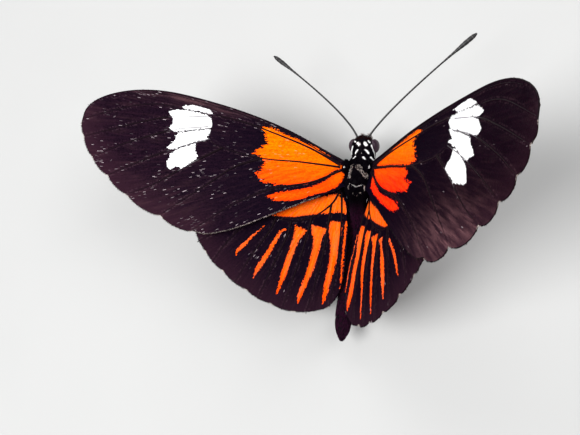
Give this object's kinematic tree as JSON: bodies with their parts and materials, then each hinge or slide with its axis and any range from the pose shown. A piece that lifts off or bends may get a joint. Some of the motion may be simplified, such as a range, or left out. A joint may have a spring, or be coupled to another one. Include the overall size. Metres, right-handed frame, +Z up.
{
  "type": "crimson-patched longwing butterfly",
  "caption": "Life-size longwing butterfly standing with raised, unevenly spread wings: dark with orange bases, white forewing bands and orange hindwing rays.",
  "frame": {"origin": "centre of the whole model's footprint, on the floor under the feet", "axes": "+Y towards the head, +X to the butterfly's right, +Z up"},
  "size_m": [0.063, 0.0432, 0.04],
  "materials": {
    "wing_membrane": "matte scales, dark maroon brown with orange and white fields",
    "body_scales": "velvety black hair and scales",
    "eye": "glossy, finely faceted",
    "antenna": "black, slightly glossy rings",
    "leg": "dark brown, scaled"
  },
  "bodies": {
    "root": {"forewing_left": "wing_membrane", "forewing_right": "wing_membrane", "hindwing_left": "wing_membrane", "hindwing_right": "wing_membrane", "head": "body_scales", "collar": "body_scales", "thorax": "body_scales", "abdomen": "body_scales", "tegula_left": "body_scales", "tegula_right": "body_scales", "palp_left": "body_scales", "palp_right": "body_scales", "eye_left": "eye", "eye_right": "eye", "antenna_left": "antenna", "antenna_right": "antenna", "proboscis": "antenna", "foreleg_left": "leg", "foreleg_right": "leg", "midleg_left": "leg", "midleg_right": "leg", "hindleg_left": "leg", "hindleg_right": "leg"}
  },
  "joints": []
}
